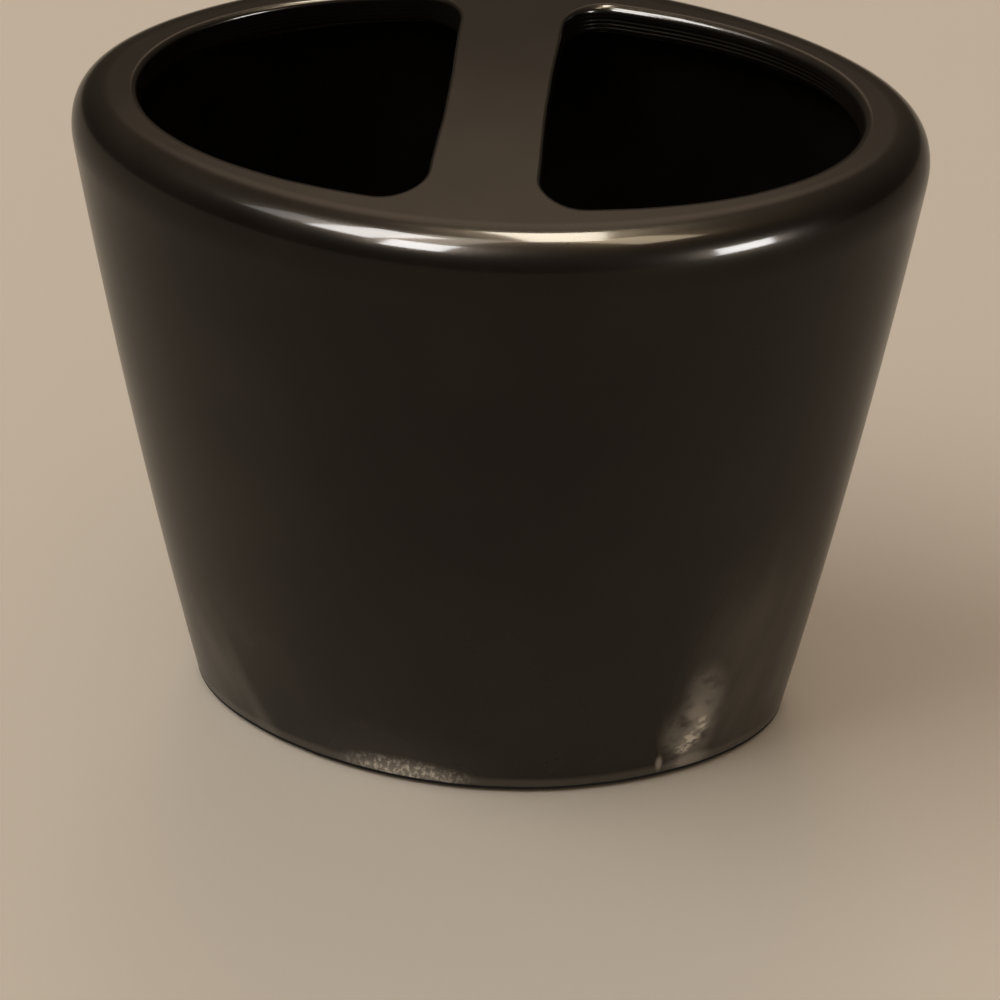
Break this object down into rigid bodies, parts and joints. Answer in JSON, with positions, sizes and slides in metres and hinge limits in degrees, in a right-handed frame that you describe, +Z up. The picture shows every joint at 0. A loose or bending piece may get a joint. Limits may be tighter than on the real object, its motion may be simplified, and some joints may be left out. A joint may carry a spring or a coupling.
{
  "type": "brush holder",
  "caption": "Oval free-standing brush holder with a leaning glazed wall, a rounded shoulder and a flat deck with a D-shaped opening on each side of a bridge.",
  "frame": {"origin": "middle of the holder on the surface that it stands on, level with the pads' lower faces", "axes": "+X along the longer side of the oval, towards the right-hand opening; -Y to the front; +Z up"},
  "size_m": [0.115, 0.071, 0.106],
  "materials": {
    "bronze_glaze": "satin, dark bronze-brown with a slight metallic sheen; the foot ring is unglazed",
    "pad_rubber": "matte black"
  },
  "bodies": {
    "root": {"ceramic_body": "bronze_glaze", "foot_pad_front_left": "pad_rubber", "foot_pad_front_right": "pad_rubber", "foot_pad_rear_left": "pad_rubber", "foot_pad_rear_right": "pad_rubber"}
  },
  "joints": []
}
